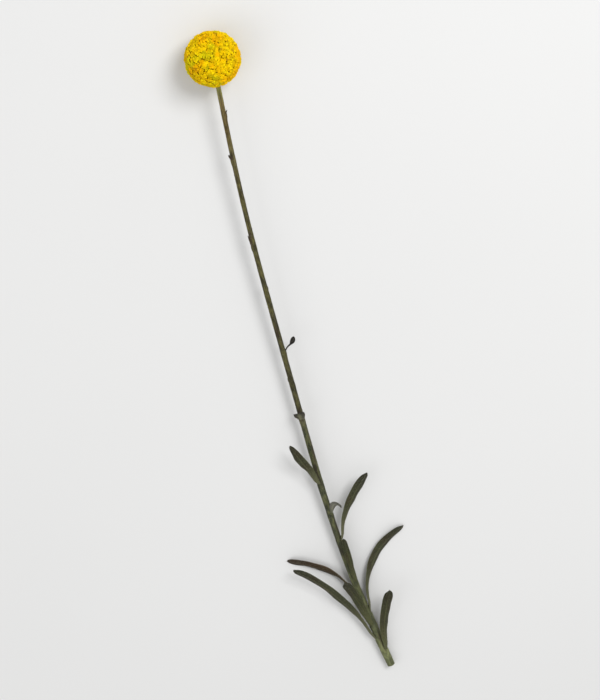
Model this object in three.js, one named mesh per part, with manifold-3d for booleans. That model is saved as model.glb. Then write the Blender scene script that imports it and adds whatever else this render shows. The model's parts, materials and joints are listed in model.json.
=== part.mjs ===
// One billy buttons stem (Craspedia), cut and lying on a surface: a round head of packed florets
// on a long bowed stalk, with scale leaves up the stalk and longer leaves at its foot.
// Millimetres, +Z up. The stalk runs along Y with the head at +Y, and its bow lies flat.

import * as THREE from 'three';
import { mergeVertices } from 'three/addons/utils/BufferGeometryUtils.js';
import { ConvexHull } from 'three/addons/math/ConvexHull.js';
import Module from 'manifold-3d';

const wasm = await Module();
wasm.setup();

// ---- Driving dimensions ------------------------------------------------------------------

const SEED = 20261124;

// Head
const HEAD_RADIUS = 14;          // to the floret tips
const HEAD_PRESS = 0.8;          // florets flattened under the head where it lies
const FLORETS = 540;             // larger than life: a real head has about twice as many
const CLUSTERS = 92;             // the small heads that the round head is made of
const CLUSTER_WANDER = 0.06;     // radians off the even spiral
const CLUSTER_DRAW = 0.1;        // how far a floret leans to its cluster's middle
const FLORET_WANDER = 0.03;      // radians off the even spiral
const FLORET_TOP = 0.66;         // share of its cell that a floret's top takes up
const FLORET_SHOULDER = 0.3;     // drop from the tip to the edge of the top
const GROOVE = 1.05;             // depth between the florets of one cluster
const CLUSTER_GROOVE = 1.75;     // depth between clusters
const FLORET_HEIGHTS = 0.35;     // spread of the tips' heights
const SOCKET_DEPTH = 3.2;
const SOCKET_PLAY = 0.3;
const SOCKET_SIDES = 12;

// Stalk. Distances along it are measured down from the foot of the head.
const STALK_LENGTH = 325;
const STALK_BOW = 8.5;           // sideways, at its middle
const STALK_SWAY = 1;            // of the gentler bends within the bow
const STALK_TOP_RADIUS = 1.15;
const STALK_FOOT_RADIUS = 1.9;
const STALK_SWELL = 1.5;         // power of the swelling from top to foot
const STALK_SIDES = 10;
const STALK_STEPS = 92;
const STALK_RIB = 0.05;          // share of the radius that the ribs stand out
const STALK_RIBS = 5;

// Leaves. What follows as a share is a share of the leaf's length, or of its width.
const BLADE_ACROSS = 4;          // facets across a blade
const BLADE_CROWDING = 0.45;     // how much closer the steps lie towards the tip
const BLADE_WIDEST = 0.62;       // where the blade reaches its full width
const FOOT_WIDTH = 0.7;
const FOOT_END_WIDTH = 0.55;     // of the foot's own width, at its rounded end
const FOOT_END = 0.08;
const TIP_START = 0.84;
const TIP_WIDTH = 0.37;          // the tip is blunt
const TWIST_END = 0.6;           // where the blade has turned its face to where it looks
const LEAF_STEPS = 14;
const LEAF_THICKNESS = 0.65;
const LEAF_GAP = 0.3;            // between a leaf's foot and the stalk that it clasps
const LEAF_HOLLOW = 7;           // radius of a leaf's channel, past its clasping foot
const CLASP_END = 0.45;          // where the blade no longer bends round the stalk
const SCALE_STEPS = 7;
const SCALE_THICKNESS = 0.7;
const SCALE_ROOT = 0.8;          // share of the stalk's radius where a scale leaf is rooted

const COLOURS = { head: 0xe8b90c, stalk: 0x68683a, leaf: 0x525a45 };

// Leaves and scale leaves from the top down. down: distance below the head. around: degrees
// round the stalk, 0 to the right seen from above, 90 up and 180 to the left. leave, sweep and
// tip: degrees between blade and stalk at the blade's foot, middle and tip. sink: how far the
// tip hangs. twist: degrees that the blade turns on its way. foot: its own width of foot.
// petiole, widest and taper: where its foot's width ends, where it reaches its own width, and
// where its tip starts.
const LEAVES = [
  {
    down: 214, around: 142, length: 29, width: 5.2, leave: 5, sweep: 26, tip: 18, twist: 44,
    foot: 0.85, widest: 0.36, taper: 0.4,
  },
  { down: 248, around: 10, length: 43, width: 5.2, leave: 14, sweep: 35, tip: 46, twist: -58 },
  { down: 273, around: 58, length: 28, width: 3.2, leave: 3, sweep: 9, tip: 5, twist: -15 },
  { down: 282, around: 191, length: 44, width: 5, leave: 6, sweep: 46, tip: 68, twist: 66, sink: 3 },
  { down: 293, around: 350, length: 56, width: 5.6, leave: 5, sweep: 34, tip: 72, twist: -66, sink: 3 },
  { down: 300, around: 103, length: 38, width: 4.8, leave: 5, sweep: 18, tip: 34, twist: 18 },
  { down: 309, around: 160, length: 63, width: 5.6, leave: 6, sweep: 24, tip: 44, twist: 46, sink: 5 },
  { down: 316, around: 36, length: 41, width: 5.2, leave: 8, sweep: 30, tip: 36, twist: -44, sink: 3 },
];
const SCALES = [
  { down: 14, around: 10, length: 2.6, width: 1.6, leave: 12, sweep: 22, tip: 40, taper: 0.4 },
  { down: 37, around: 138, length: 3.6, width: 2.8, leave: 6, sweep: 26, tip: 36, taper: 0.4 },
  { down: 58, around: 262, length: 3.4, width: 1.9, leave: 8, sweep: 14, tip: 22, taper: 0.4 },
  { down: 82, around: 168, length: 6.5, width: 2.3, leave: 3, sweep: 7, tip: 3, taper: 0.5 },
  { down: 108, around: 285, length: 5.6, width: 2.2, leave: 8, sweep: 14, tip: 20, taper: 0.4 },
  {
    down: 139, around: 12, length: 10, width: 2.6, leave: 30, sweep: 62, tip: 18, twist: -70,
    foot: 0.4, petiole: 0.5, widest: 0.72, taper: 0.74,
  },
  { down: 158, around: 248, length: 5.4, width: 2.4, leave: 8, sweep: 16, tip: 30, taper: 0.4 },
  { down: 177, around: 106, length: 5.6, width: 6.1, leave: 8, sweep: 20, tip: 38, twist: 8, foot: 0.55 },
  {
    down: 232, around: 36, length: 12.5, width: 3.9, leave: 14, sweep: 34, tip: 150, twist: -58,
    foot: 0.5,
  },
];

// ---- Small tools -------------------------------------------------------------------------

const { clamp, degToRad, lerp, smoothstep } = THREE.MathUtils;
const smooth = (value) => smoothstep(value, 0, 1);

/** A repeatable stream of numbers from 0 to 1. */
function randomStream(seed) {
  let state = seed >>> 0;
  return () => {
    state = (state + 0x6d2b79f5) >>> 0;
    let mixed = Math.imul(state ^ (state >>> 15), 1 | state);
    mixed = (mixed + Math.imul(mixed ^ (mixed >>> 7), 61 | mixed)) ^ mixed;
    return ((mixed ^ (mixed >>> 14)) >>> 0) / 4294967296;
  };
}

/** Evenly spread directions along a golden spiral round the Y axis. */
function spiralDirections(count) {
  const turn = Math.PI * (3 - Math.sqrt(5));
  return Array.from({ length: count }, (_, i) => {
    const y = 1 - (2 * (i + 0.5)) / count;
    const around = Math.sqrt(1 - y * y);
    return new THREE.Vector3(around * Math.cos(turn * i), y, around * Math.sin(turn * i));
  });
}

function geometryFrom(points, triangles) {
  const geometry = new THREE.BufferGeometry();
  geometry.setAttribute('position', new THREE.Float32BufferAttribute(points, 3));
  geometry.setIndex(triangles);
  return geometry;
}

function toManifold(geometry) {
  const bare = geometry.clone();
  bare.deleteAttribute('normal');
  bare.deleteAttribute('uv');
  const merged = mergeVertices(bare, 1e-4);
  return new wasm.Manifold(new wasm.Mesh({
    numProp: 3,
    vertProperties: new Float32Array(merged.attributes.position.array),
    triVerts: new Uint32Array(merged.index.array),
  }));
}

/** The main body of a solid, with any pocket that joining sealed in it filled. */
function largestBody(solid) {
  return solid.decompose().reduce((best, body) => (body.volume() > best.volume() ? body : best));
}

function fromManifold(solid) {
  const mesh = solid.getMesh();
  return geometryFrom(Array.from(mesh.vertProperties), Array.from(mesh.triVerts));
}

// ---- Head --------------------------------------------------------------------------------

/** Floret directions, each drawn a little to its cluster's middle, with its cluster's number. */
function placeFlorets(random) {
  const clusters = spiralDirections(CLUSTERS).map((even) => wander(even, CLUSTER_WANDER, random));
  return spiralDirections(FLORETS).map((even) => {
    const direction = wander(even, FLORET_WANDER, random);
    let nearest = 0;
    clusters.forEach((cluster, i) => {
      if (cluster.dot(direction) > clusters[nearest].dot(direction)) nearest = i;
    });
    direction.lerp(clusters[nearest], CLUSTER_DRAW).normalize();
    return { direction, cluster: nearest, height: (random() - 0.5) * FLORET_HEIGHTS };
  });
}

/** A direction moved off its place by up to an amount each way. */
function wander(direction, amount, random) {
  const shift = new THREE.Vector3(random() - 0.5, random() - 0.5, random() - 0.5);
  return direction.clone().addScaledVector(shift, 2 * amount).normalize();
}

/** The ball of florets: every floret a small dome in its own cell, with grooves between. */
function floretBall() {
  const random = randomStream(SEED);
  const florets = placeFlorets(random);
  const hull = new ConvexHull().setFromPoints(florets.map((floret) => floret.direction));
  const numberOf = new Map(florets.map((floret, i) => [floret.direction, i]));

  const points = [];
  const triangles = [];
  const addPoint = (direction, radius) => {
    points.push(direction.x * radius, direction.y * radius, direction.z * radius);
    return points.length / 3 - 1;
  };
  const tipRadius = (floret) => HEAD_RADIUS - FLORET_HEIGHTS / 2 + floret.height;
  const tips = florets.map((floret) => addPoint(floret.direction, tipRadius(floret)));

  // Where three cells meet: one low corner, and one raised corner for each of the three florets.
  const corners = new Map();
  for (const face of hull.faces) {
    const members = [0, 1, 2].map((i) => numberOf.get(face.getEdge(i).head().point));
    const oneCluster = new Set(members.map((i) => florets[i].cluster)).size === 1;
    const low = addPoint(face.normal, HEAD_RADIUS - (oneCluster ? GROOVE : CLUSTER_GROOVE));
    const raised = new Map(members.map((i) => {
      const direction = florets[i].direction.clone().lerp(face.normal, FLORET_TOP).normalize();
      return [i, addPoint(direction, tipRadius(florets[i]) - FLORET_SHOULDER)];
    }));
    corners.set(face, { low, raised });
  }

  // Each side of a cell: a wedge of the floret's top and the wall down to the groove.
  for (const face of hull.faces) {
    for (let i = 0; i < 3; i += 1) {
      const edge = face.getEdge(i);
      const floret = numberOf.get(edge.head().point);
      const here = corners.get(face);
      const next = corners.get(edge.twin.face);
      const [a, b] = [here.raised.get(floret), next.raised.get(floret)];
      triangles.push(tips[floret], a, b);
      triangles.push(a, here.low, next.low, a, next.low, b);
    }
  }
  return geometryFrom(points, triangles);
}

/** The head where it lies: turned to the stalk, pressed flat on the ground, with its socket. */
function flowerHead() {
  const { point, along } = stalkFrame(0);
  const centre = point.clone().addScaledVector(along, HEAD_RADIUS);
  const turn = new THREE.Quaternion().setFromUnitVectors(new THREE.Vector3(0, 1, 0), along);
  const ball = floretBall().applyQuaternion(turn).translate(centre.x, centre.y, centre.z);
  const position = ball.attributes.position;
  for (let i = 0; i < position.count; i += 1) position.setZ(i, Math.max(0, position.getZ(i)));

  const reach = 2 * SOCKET_DEPTH;
  const radius = STALK_TOP_RADIUS * (1 + STALK_RIB) + SOCKET_PLAY;
  const bore = new THREE.CylinderGeometry(radius, radius, reach, SOCKET_SIDES).applyQuaternion(turn);
  const mouth = point.clone().addScaledVector(along, SOCKET_DEPTH - reach / 2);
  bore.translate(mouth.x, mouth.y, mouth.z);
  return fromManifold(toManifold(ball).subtract(toManifold(bore)));
}

// ---- Stalk -------------------------------------------------------------------------------

/** The middle of the stalk, at a distance below the head. */
function stalkPoint(down) {
  const share = (Math.PI * down) / STALK_LENGTH;
  const sway = Math.sin(3 * share) - Math.sin(2 * share);
  const headHeight = HEAD_RADIUS - HEAD_PRESS;
  const footHeight = STALK_FOOT_RADIUS * (1 + STALK_RIB);
  const fall = (down + HEAD_RADIUS) / (STALK_LENGTH + HEAD_RADIUS);
  return new THREE.Vector3(
    -STALK_BOW * Math.sin(share) - STALK_SWAY * sway,
    -down,
    lerp(headHeight, footHeight, fall),
  );
}

/** The stalk's middle with its directions: along towards the head, right, and up. */
function stalkFrame(down) {
  const step = 0.5;
  const along = stalkPoint(down - step).sub(stalkPoint(down + step)).normalize();
  const right = new THREE.Vector3().crossVectors(along, new THREE.Vector3(0, 0, 1)).normalize();
  const up = new THREE.Vector3().crossVectors(right, along);
  return { point: stalkPoint(down), along, right, up };
}

/** The direction out of the stalk at an angle round it. */
function outward(frame, angle) {
  return frame.right.clone().multiplyScalar(Math.cos(angle)).addScaledVector(frame.up, Math.sin(angle));
}

function stalkRadius(down) {
  const share = clamp(down / STALK_LENGTH, 0, 1);
  return lerp(STALK_TOP_RADIUS, STALK_FOOT_RADIUS, share ** STALK_SWELL);
}

/** The bare stalk: a tapering ribbed rod that follows the bow, from its socket to the cut. */
function stalkRod() {
  const top = SOCKET_PLAY - SOCKET_DEPTH;
  const rod = new THREE.CylinderGeometry(1, 1, 1, STALK_SIDES, STALK_STEPS);
  const position = rod.attributes.position;
  for (let i = 0; i < position.count; i += 1) {
    const down = lerp(STALK_LENGTH, top, position.getY(i) + 0.5);
    const angle = Math.atan2(position.getZ(i), position.getX(i));
    const share = Math.hypot(position.getX(i), position.getZ(i));
    const rib = 1 + STALK_RIB * Math.cos(STALK_RIBS * angle);
    const frame = stalkFrame(down);
    const place = frame.point.addScaledVector(outward(frame, angle), share * rib * stalkRadius(down));
    position.setXYZ(i, place.x, place.y, place.z);
  }
  return rod;
}

// ---- Leaves ------------------------------------------------------------------------------

/** Half the width of a leaf at a share of its length: narrow foot, wide upper part, blunt tip. */
function halfWidth(leaf, share) {
  const foot = (leaf.foot ?? FOOT_WIDTH) * lerp(FOOT_END_WIDTH, 1, smooth(share / FOOT_END));
  const petiole = leaf.petiole ?? 0;
  const opened = (share - petiole) / ((leaf.widest ?? BLADE_WIDEST) - petiole);
  const widening = lerp(foot, 1, smooth(opened));
  const tipStart = leaf.taper ?? TIP_START;
  const rounding = Math.max(0, share - tipStart) / (1 - tipStart);
  return (leaf.width / 2) * widening * Math.sqrt(1 - (1 - TIP_WIDTH ** 2) * rounding ** 2);
}

/** The angle between leaf and stalk at a share of the leaf's length, in radians. */
function leafAngle(leaf, share) {
  const lower = lerp(leaf.leave, leaf.sweep, smooth(2 * share));
  return degToRad(lerp(lower, leaf.tip, smooth((share - 0.4) / 0.6)));
}

/**
 * A leaf's blade. It starts beside the stalk, curved round it, climbs along it and sweeps out,
 * flatter towards the tip. What would sink into the ground lies on it. start is the distance
 * from the stalk's middle to the middle of the blade at the leaf's foot.
 */
function leafBlade(leaf, start, steps, thickness) {
  const around = degToRad(leaf.around);
  const points = [];
  let climbed = 0;
  let out = start;
  let last = 0;
  for (let i = 0; i <= steps; i += 1) {
    const even = i / steps;
    const share = lerp(even, Math.sin((even * Math.PI) / 2), BLADE_CROWDING);
    const angle = leafAngle(leaf, (share + last) / 2);
    climbed += Math.cos(angle) * (share - last) * leaf.length;
    out += Math.sin(angle) * (share - last) * leaf.length;
    last = share;

    const frame = stalkFrame(leaf.down - climbed);
    const away = outward(frame, around);
    const across = outward(frame, around + Math.PI / 2);
    const lean = leafAngle(leaf, share);
    const back = away.clone().multiplyScalar(Math.cos(lean)).addScaledVector(frame.along, -Math.sin(lean));
    const middle = frame.point.clone().addScaledVector(away, out);
    middle.z -= (leaf.sink ?? 0) * share ** 2;
    const roll = degToRad((leaf.twist ?? 0) * smooth(share / TWIST_END));
    const side = across.clone().multiplyScalar(Math.cos(roll)).addScaledVector(back, Math.sin(roll));
    back.multiplyScalar(Math.cos(roll)).addScaledVector(across, -Math.sin(roll));

    const hollow = lerp(start, LEAF_HOLLOW, smooth(share / CLASP_END));
    const section = [];
    for (let j = 0; j <= BLADE_ACROSS; j += 1) {
      const turn = (1 - (2 * j) / BLADE_ACROSS) * (halfWidth(leaf, share) / hollow);
      const normal = back.clone().multiplyScalar(Math.cos(turn)).addScaledVector(side, Math.sin(turn));
      for (const face of [0.5, -0.5]) {
        const depth = hollow + face * thickness;
        section.push(middle.clone().addScaledVector(back, -hollow).addScaledVector(normal, depth));
      }
    }
    const sunk = Math.min(0, ...section.map((place) => place.z));
    for (const place of section) points.push(place.x, place.y, place.z - sunk);
  }
  return geometryFrom(points, bladeTriangles(steps));
}

/** The triangles of a blade: both faces split alike, then the edges, the foot and the tip. */
function bladeTriangles(steps) {
  const triangles = [];
  const row = 2 * (BLADE_ACROSS + 1);
  const at = (i, j, face) => i * row + 2 * j + face;
  const quad = (a, b, c, d) => triangles.push(a, b, c, a, c, d);
  for (let i = 0; i < steps; i += 1) {
    for (let j = 0; j < BLADE_ACROSS; j += 1) {
      quad(at(i, j, 0), at(i, j + 1, 0), at(i + 1, j + 1, 0), at(i + 1, j, 0));
      triangles.push(at(i, j, 1), at(i + 1, j + 1, 1), at(i, j + 1, 1));
      triangles.push(at(i, j, 1), at(i + 1, j, 1), at(i + 1, j + 1, 1));
    }
    quad(at(i, 0, 1), at(i, 0, 0), at(i + 1, 0, 0), at(i + 1, 0, 1));
    const edge = BLADE_ACROSS;
    quad(at(i, edge, 0), at(i, edge, 1), at(i + 1, edge, 1), at(i + 1, edge, 0));
  }
  for (let j = 0; j < BLADE_ACROSS; j += 1) {
    quad(at(0, j, 1), at(0, j + 1, 1), at(0, j + 1, 0), at(0, j, 0));
    quad(at(steps, j, 0), at(steps, j + 1, 0), at(steps, j + 1, 1), at(steps, j, 1));
  }
  return triangles;
}

/** A scale leaf's foot is sunk into the stalk, which it is one body with. */
function scaleBlade(scale) {
  return leafBlade(scale, stalkRadius(scale.down) * SCALE_ROOT, SCALE_STEPS, SCALE_THICKNESS);
}

/** A full leaf clasps the stalk a hair's breadth clear of it. */
function fullBlade(leaf) {
  const start = stalkRadius(leaf.down) * (1 + STALK_RIB) + LEAF_GAP + LEAF_THICKNESS / 2;
  return leafBlade(leaf, start, LEAF_STEPS, LEAF_THICKNESS);
}

/** The stalk with its scale leaves grown on. */
function stalkWithScales() {
  const whole = SCALES.reduce(
    (body, scale) => body.add(toManifold(scaleBlade(scale))),
    toManifold(stalkRod()),
  );
  return fromManifold(largestBody(whole));
}

// ---- The stem ----------------------------------------------------------------------------

function piece(name, geometry, colour, roughness) {
  const material = new THREE.MeshStandardMaterial({ color: colour, roughness, metalness: 0 });
  const mesh = new THREE.Mesh(geometry, material);
  mesh.name = name;
  return mesh;
}

const stem = new THREE.Group();
stem.add(piece('flower_head', flowerHead(), COLOURS.head, 0.85));
stem.add(piece('stalk', stalkWithScales(), COLOURS.stalk, 0.75));
LEAVES.forEach((leaf, i) => stem.add(piece(`leaf_${i + 1}`, fullBlade(leaf), COLOURS.leaf, 0.8)));

// The origin is on the ground, under the middle of the whole stem.
const box = new THREE.Box3().setFromObject(stem, true);
const middle = box.getCenter(new THREE.Vector3());
stem.position.set(-middle.x, -middle.y, 0);

export default stem;
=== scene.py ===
"""A cut billy buttons stem lying on a surface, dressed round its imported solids.

A round head of packed florets stands on a long bowed stalk with scale leaves, and longer leaves
grow towards the stalk's foot. Forms are worked out in millimetres in the plant's own space: the
foot of the head is the origin and the stalk runs down -Y, with heights above the surface that
the stem lies on. Each finished mesh is then set into the frame, in metres, in one move.
"""

import json
import logging
import math
from dataclasses import dataclass, field
from enum import Enum
from functools import partial
from types import SimpleNamespace
from typing import Callable, Sequence

import bpy
import numpy as np
from bpy.types import ID, Collection, Material, Mesh, NodeSocket, NodeTree, Object
from mathutils import Euler, Matrix, Vector

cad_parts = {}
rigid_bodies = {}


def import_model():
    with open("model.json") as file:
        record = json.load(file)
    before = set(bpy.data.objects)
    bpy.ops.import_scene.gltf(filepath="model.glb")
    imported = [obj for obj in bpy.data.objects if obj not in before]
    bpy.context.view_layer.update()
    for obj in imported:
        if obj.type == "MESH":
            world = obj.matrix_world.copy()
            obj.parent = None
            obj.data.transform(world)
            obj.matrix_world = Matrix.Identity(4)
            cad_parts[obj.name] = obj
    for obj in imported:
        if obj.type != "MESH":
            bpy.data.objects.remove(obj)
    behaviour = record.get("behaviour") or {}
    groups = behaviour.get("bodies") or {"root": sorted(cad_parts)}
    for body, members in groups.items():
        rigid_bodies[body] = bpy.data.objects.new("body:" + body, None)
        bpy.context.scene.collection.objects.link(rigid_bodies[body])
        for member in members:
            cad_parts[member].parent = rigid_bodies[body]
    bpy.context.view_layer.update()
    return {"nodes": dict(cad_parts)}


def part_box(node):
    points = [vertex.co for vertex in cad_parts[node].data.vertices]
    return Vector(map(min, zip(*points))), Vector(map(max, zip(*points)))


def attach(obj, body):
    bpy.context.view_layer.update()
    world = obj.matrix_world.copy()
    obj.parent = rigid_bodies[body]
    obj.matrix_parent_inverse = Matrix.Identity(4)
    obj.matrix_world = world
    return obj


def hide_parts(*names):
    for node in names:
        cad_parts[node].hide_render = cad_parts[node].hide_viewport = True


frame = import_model()

LOG = logging.getLogger("billy_buttons")
BODY = "root"
MM = 0.001
UP = np.array((0.0, 0.0, 1.0))
GOLDEN_TURN = math.pi * (3 - math.sqrt(5))
SEED = 20261124
SHARP = math.radians(55)

Array = np.ndarray
Number = Array | float
Pair = tuple[float, float]
Floats = tuple[float, ...]
Rings = tuple[Floats, ...]


# ---- Small helpers ----


def lerp(low: Number, high: Number, share: Number) -> Number:
    """The value a share of the way from low to high."""
    return low + (high - low) * share


def smooth(value: Number) -> Number:
    """Eases a value from 0 to 1, and holds it outside those."""
    held = np.clip(value, 0, 1)
    return held * held * (3 - 2 * held)


def unit(vectors: Array) -> Array:
    """Vectors along the last axis, each made one long."""
    return vectors / np.linalg.norm(vectors, axis=-1, keepdims=True)


def stack(*parts: Number) -> Array:
    """Vectors from their parts, of any shapes that fit together."""
    return np.stack(np.broadcast_arrays(*parts), axis=-1)


def turns(count: int) -> Array:
    """Angles spread evenly round a circle, in radians."""
    return np.arange(count) * 2 * np.pi / count


def linear(colour: int) -> Floats:
    """A colour written as 0xRRGGBB, as the three linear values that shaders take."""
    parts = [((colour >> shift) & 255) / 255 for shift in (16, 8, 0)]
    return tuple(p / 12.92 if p <= 0.04045 else ((p + 0.055) / 1.055) ** 2.4 for p in parts)


def add_object(name: str, data: ID) -> Object:
    """Adds an object to the scene."""
    bpy.context.scene.collection.objects.link(made := bpy.data.objects.new(name, data))
    return made


# ---- The stem's own line ----


@dataclass(frozen=True)
class Section:
    """Places on the stalk's middle line, with the directions along it, right of it and up."""

    point: Array
    along: Array
    right: Array
    up: Array

    def outward(self, angle: Number) -> Array:
        """The direction out of the stalk at an angle round it, in radians."""
        return self.right * np.cos(angle) + self.up * np.sin(angle)


@dataclass(frozen=True)
class StemLine:
    """The bowed line and the thickness of the stalk, which all the other forms hang on."""

    length: float = 325.0
    bow: float = 8.5
    sway: float = 1.0
    head_radius: float = 14.0
    head_press: float = 0.8
    top_radius: float = 1.15
    foot_radius: float = 1.9
    swell: float = 1.5
    rib: float = 0.05
    ribs: int = 5
    step: float = 0.5

    def point(self, down: Number) -> Array:
        """The stalk's middle.

        Args:
            down: distances below the head.

        Returns:
            A point for each.
        """
        share = np.pi * down / self.length
        sway = np.sin(3 * share) - np.sin(2 * share)
        fall = (down + self.head_radius) / (self.length + self.head_radius)
        height = lerp(self.head_radius - self.head_press, self.foot_radius * (1 + self.rib), fall)
        return stack(-self.bow * np.sin(share) - self.sway * sway, -down, height)

    def section(self, down: Number) -> Section:
        """The stalk's directions.

        Args:
            down: distances below the head.

        Returns:
            The directions at each.
        """
        along = unit(self.point(down - self.step) - self.point(down + self.step))
        right = unit(np.cross(along, UP))
        return Section(self.point(down), along, right, np.cross(right, along))

    def radius(self, down: Number) -> Number:
        """Half the stalk's thickness at distances below the head, between its ribs."""
        share = np.clip(down / self.length, 0, 1)
        return lerp(self.top_radius, self.foot_radius, share**self.swell)

    def head_centre(self) -> Array:
        """The middle of the flower head."""
        top = self.section(0.0)
        return top.point + top.along * self.head_radius


class PlantSpace:
    """The move from the plant's own millimetres to the frame's metres."""

    def __init__(self, line: StemLine) -> None:
        """Finds the move from where the head's solid lies in the frame.

        Args:
            line: the stalk's line.
        """
        low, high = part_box("flower_head")
        shift = (low + high) / 2 - Vector(line.head_centre()) * MM
        self.matrix = Matrix.Translation((shift.x, shift.y, 0)) @ Matrix.Scale(MM, 4)

    def settle(self, piece: Object, slot: str, node: str | None = None) -> None:
        """Sets a piece's mesh into the frame, hangs it on the body, hides the solid that it stands for and
        logs its faces. Its object stays at the origin.

        Args:
            piece: the piece.
            slot: not used.
            node: the solid that it stands for, if it stands for one.
        """
        piece.data.transform(self.matrix)
        piece.data.update()
        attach(piece, BODY)
        if node is not None:
            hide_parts(node)
        LOG.info("%s: %d faces", piece.name, len(piece.data.polygons))


# ---- Node graphs ----


Term = "Value | float | int | bool | str | tuple | ID"
MATHS = ("ShaderNodeMath", "ShaderNodeVectorMath")
WIDE = {"VECTOR", "RGBA"}


def operation(name: str, turned: bool = False) -> "Callable[..., Value]":
    """Makes a method of Value that adds a maths node.

    Args:
        name: the node's operation.
        turned: whether the value itself comes last, as in a reflected operator.

    Returns:
        The method.
    """

    def method(self: "Value", *others: Term) -> "Value":
        """Adds the node, for vectors if any of its terms is one."""
        terms = (*others, self) if turned else (self, *others)
        return self.graph.node(MATHS[any(map(self.graph.is_wide, terms))], {"operation": name}, *terms)

    return method


class Value:
    """A node's output, which expressions can be written with. Each operation adds its node."""

    __add__ = __radd__ = operation("ADD")
    __sub__ = operation("SUBTRACT")
    __rsub__ = operation("SUBTRACT", turned=True)
    __mul__ = __rmul__ = operation("MULTIPLY")
    __truediv__ = operation("DIVIDE")
    __pow__ = operation("POWER")
    __gt__ = operation("GREATER_THAN")
    at_least = operation("MAXIMUM")
    at_most = operation("MINIMUM")
    size = operation("ABSOLUTE")
    sine = operation("SINE")
    cosine = operation("COSINE")
    exponent = operation("EXPONENT")
    direction = operation("NORMALIZE")
    cross = operation("CROSS_PRODUCT")
    dot = operation("DOT_PRODUCT")
    length = operation("LENGTH")

    def __init__(self, graph: "Graph", socket: NodeSocket) -> None:
        """Keeps the socket and the graph that it belongs to."""
        self.graph = graph
        self.socket = socket

    def also(self, name: str) -> "Value":
        """Another output of the same node."""
        return Value(self.graph, self.socket.node.outputs[name])

    def parts(self) -> "list[Value]":
        """A vector's three parts."""
        split = self.graph.node("ShaderNodeSeparateXYZ", {}, self)
        return [split.also(axis) for axis in "XYZ"]

    def eased(self, low: float, high: float) -> "Value":
        """0 below low and 1 above high, with a smooth step between."""
        return self.graph.node("ShaderNodeMapRange", {"interpolation_type": "SMOOTHSTEP"}, self, low, high)


class Graph:
    """A node tree that is written as expressions."""

    def __init__(self, tree: NodeTree) -> None:
        """Starts on an empty tree."""
        self.tree = tree

    def is_wide(self, term: Term) -> bool:
        """Whether a term is a vector or a colour."""
        return term.socket.type in WIDE if isinstance(term, Value) else isinstance(term, tuple)

    def node(self, kind: str, settings: dict[str, object], *terms: Term, **named: Term) -> Value | None:
        """Adds a node.

        Args:
            kind: its type.
            settings: what is set on it first.
            terms: values or links for its inputs in use, in their order.
            named: the same for inputs by name, with _ for a space.

        Returns:
            Its first output in use, if it has any.
        """
        made = self.tree.nodes.new(kind)
        for name, setting in settings.items():
            setattr(made, name, setting)
        for key, term in (*enumerate(terms), *named.items()):
            used = [socket for socket in made.inputs if socket.enabled]
            names = [socket.name.replace(" ", "_") for socket in used]
            socket = used[names.index(key) if isinstance(key, str) else key]
            if isinstance(term, Value):
                self.tree.links.new(term.socket, socket)
                continue
            if socket.type in WIDE and not isinstance(term, tuple):
                term = (term,) * 3
            socket.default_value = (*term[:3], 1.0) if socket.type == "RGBA" else term
        outputs = [socket for socket in made.outputs if socket.enabled]
        return Value(self, outputs[0]) if outputs else None


class Shader(Graph):
    """The graph of a material that ends in one Principled shader."""

    def __init__(self, name: str) -> None:
        """Starts a material.

        Args:
            name: its name.
        """
        self.material = bpy.data.materials.new(name)
        self.material.use_nodes = True
        super().__init__(self.material.node_tree)
        self.tree.nodes.clear()

    def place(self) -> Value:
        """Where a point of the surface is, in millimetres of the frame."""
        return self.node("ShaderNodeTexCoord", {}).also("Object") * (1 / MM)

    def field(self, name: str) -> Value:
        """The vector that the piece's mesh has at each vertex under a name."""
        return self.node("ShaderNodeAttribute", {"attribute_name": name}).also("Vector")

    def noise(self, place: Value, scale: float, detail: float = 2.0, rough: float = 0.5) -> Value:
        """Smooth noise from 0 to 1: its patches for each unit, its finer layers and their strength."""
        return self.node("ShaderNodeTexNoise", {}, Vector=place, Scale=scale, Detail=detail, Roughness=rough)

    def coated(self, base: Term, *coats: tuple[Term, Term]) -> Value:
        """A colour under coats that are laid on in turn.

        Args:
            base: the colour beneath.
            coats: each a colour, or a factor that darkens what is there, with the coat's share.

        Returns:
            The colour.
        """
        colour = linear(base) if isinstance(base, int) else base
        for coat, share in coats:
            over = linear(coat) if isinstance(coat, int) else coat
            over = colour * coat if isinstance(coat, float) else over
            colour = self.node("ShaderNodeMix", {"data_type": "RGBA"}, share, colour, over)
        return colour

    def finish(self, colour: Value, roughness: Term, height: Value | None = None, **terms: float) -> Material:
        """Ends the graph.

        Args:
            colour: the surface's colour.
            roughness: its roughness.
            height: its relief in millimetres, if it has any.
            terms: what the shader's other inputs are set to.

        Returns:
            The material.
        """
        if height is not None:
            terms["Normal"] = self.node("ShaderNodeBump", {}, Height=height, Distance=MM, Strength=1.0)
        surface = self.node("ShaderNodeBsdfPrincipled", {}, Base_Color=colour, Roughness=roughness, **terms)
        self.node("ShaderNodeOutputMaterial", {}, surface)
        return self.material


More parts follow.
